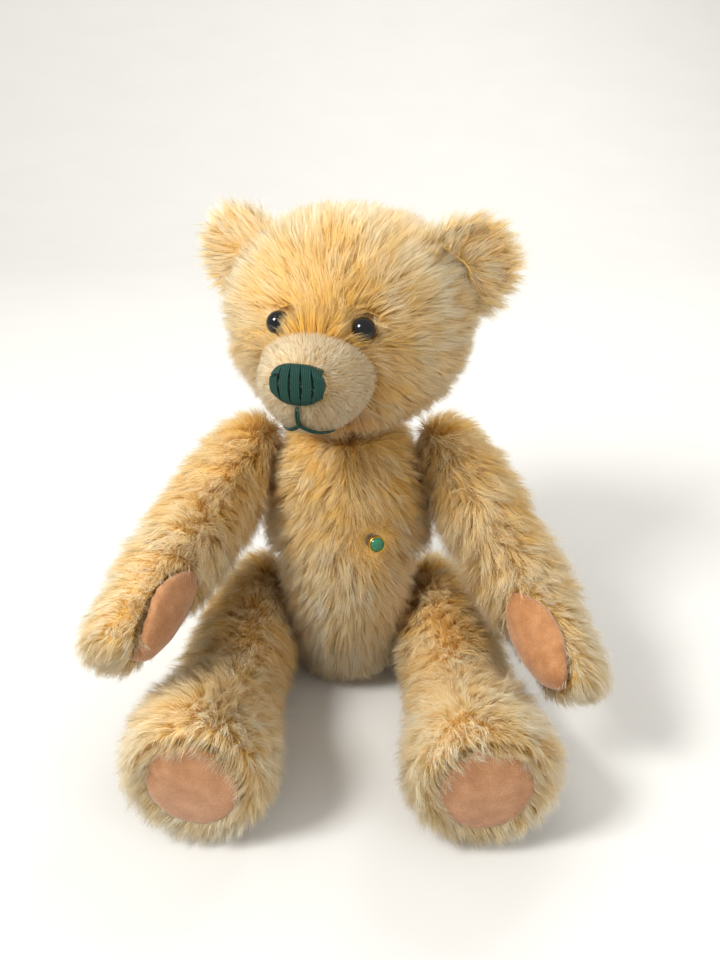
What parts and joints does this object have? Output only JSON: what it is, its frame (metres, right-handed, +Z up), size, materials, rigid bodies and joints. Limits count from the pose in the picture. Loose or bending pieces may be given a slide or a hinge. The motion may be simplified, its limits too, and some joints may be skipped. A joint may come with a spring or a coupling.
{
  "type": "jointed teddy bear",
  "caption": "Stuffed plush bear sitting with its legs forward, with glass eyes, a stitched nose and disc joints at the neck, shoulders and hips.",
  "frame": {"origin": "middle of the flat seat under the torso", "axes": "+Z up, -Y the way the bear faces, +X its left side"},
  "size_m": [0.2542, 0.2353, 0.2616],
  "materials": {
    "mohair plush": "long tousled golden pile with pale tips",
    "stuffing": "loose off-white fibre",
    "wool felt": "short dense nap, pinkish tan",
    "hardboard": "pressed brown board",
    "glass": "polished black",
    "cotton thread": "dark green satin stitches",
    "enamel": "gloss green enamel in a gilt rim",
    "steel": "zinc-plated"
  },
  "bodies": {
    "torso": {"torso_skin": "mohair plush", "torso_stuffing": "stuffing", "chest_stud": "enamel", "chest_stud_washer": "steel", "torso_neck_disc": "hardboard", "torso_neck_washer": "steel", "neck_cotter_pin": "steel", "torso_left_shoulder_disc": "hardboard", "torso_left_shoulder_washer": "steel", "left_shoulder_cotter_pin": "steel", "torso_right_shoulder_disc": "hardboard", "torso_right_shoulder_washer": "steel", "right_shoulder_cotter_pin": "steel", "torso_left_hip_disc": "hardboard", "torso_left_hip_washer": "steel", "left_hip_cotter_pin": "steel", "torso_right_hip_disc": "hardboard", "torso_right_hip_washer": "steel", "right_hip_cotter_pin": "steel"},
    "head": {"head_skin": "mohair plush", "head_stuffing": "stuffing", "head_disc": "hardboard", "head_washer": "steel", "left_ear": "mohair plush", "right_ear": "mohair plush", "left_eye": "glass", "right_eye": "glass", "left_eye_loop": "steel", "right_eye_loop": "steel", "nose_stitching": "cotton thread", "mouth_upright_thread": "cotton thread", "mouth_smile_thread": "cotton thread"},
    "left_arm": {"left_arm_skin": "mohair plush", "left_arm_stuffing": "stuffing", "left_arm_pad": "wool felt", "left_arm_disc": "hardboard", "left_arm_washer": "steel"},
    "left_leg": {"left_leg_skin": "mohair plush", "left_leg_stuffing": "stuffing", "left_leg_pad": "wool felt", "left_leg_disc": "hardboard", "left_leg_washer": "steel"},
    "right_arm": {"right_arm_skin": "mohair plush", "right_arm_stuffing": "stuffing", "right_arm_pad": "wool felt", "right_arm_disc": "hardboard", "right_arm_washer": "steel"},
    "right_leg": {"right_leg_skin": "mohair plush", "right_leg_stuffing": "stuffing", "right_leg_pad": "wool felt", "right_leg_disc": "hardboard", "right_leg_washer": "steel"}
  },
  "joints": [
    {"name": "neck", "type": "hinge", "parent": "torso", "child": "head", "pos_m": [0, 0.014, 0.14875], "axis": [0, 0.1045, 0.9945], "range_deg": [-160, 160]},
    {"name": "left_shoulder", "type": "hinge", "parent": "torso", "child": "left_arm", "pos_m": [0.0425, 0.008, 0.119], "axis": [-0.9266, -0.1138, -0.3584], "range_deg": [-102, 65]},
    {"name": "right_shoulder", "type": "hinge", "parent": "torso", "child": "right_arm", "pos_m": [-0.0425, 0.008, 0.119], "axis": [-0.9266, 0.1138, 0.3584], "range_deg": [-117, 50]},
    {"name": "left_hip", "type": "hinge", "parent": "torso", "child": "left_leg", "pos_m": [0.031, -0.006, 0.0345], "axis": [-0.9921, -0.0694, 0.1045], "range_deg": [-120, 2]},
    {"name": "right_hip", "type": "hinge", "parent": "torso", "child": "right_leg", "pos_m": [-0.031, -0.006, 0.0345], "axis": [-0.9921, 0.0694, -0.1045], "range_deg": [-120, 2]}
  ]
}
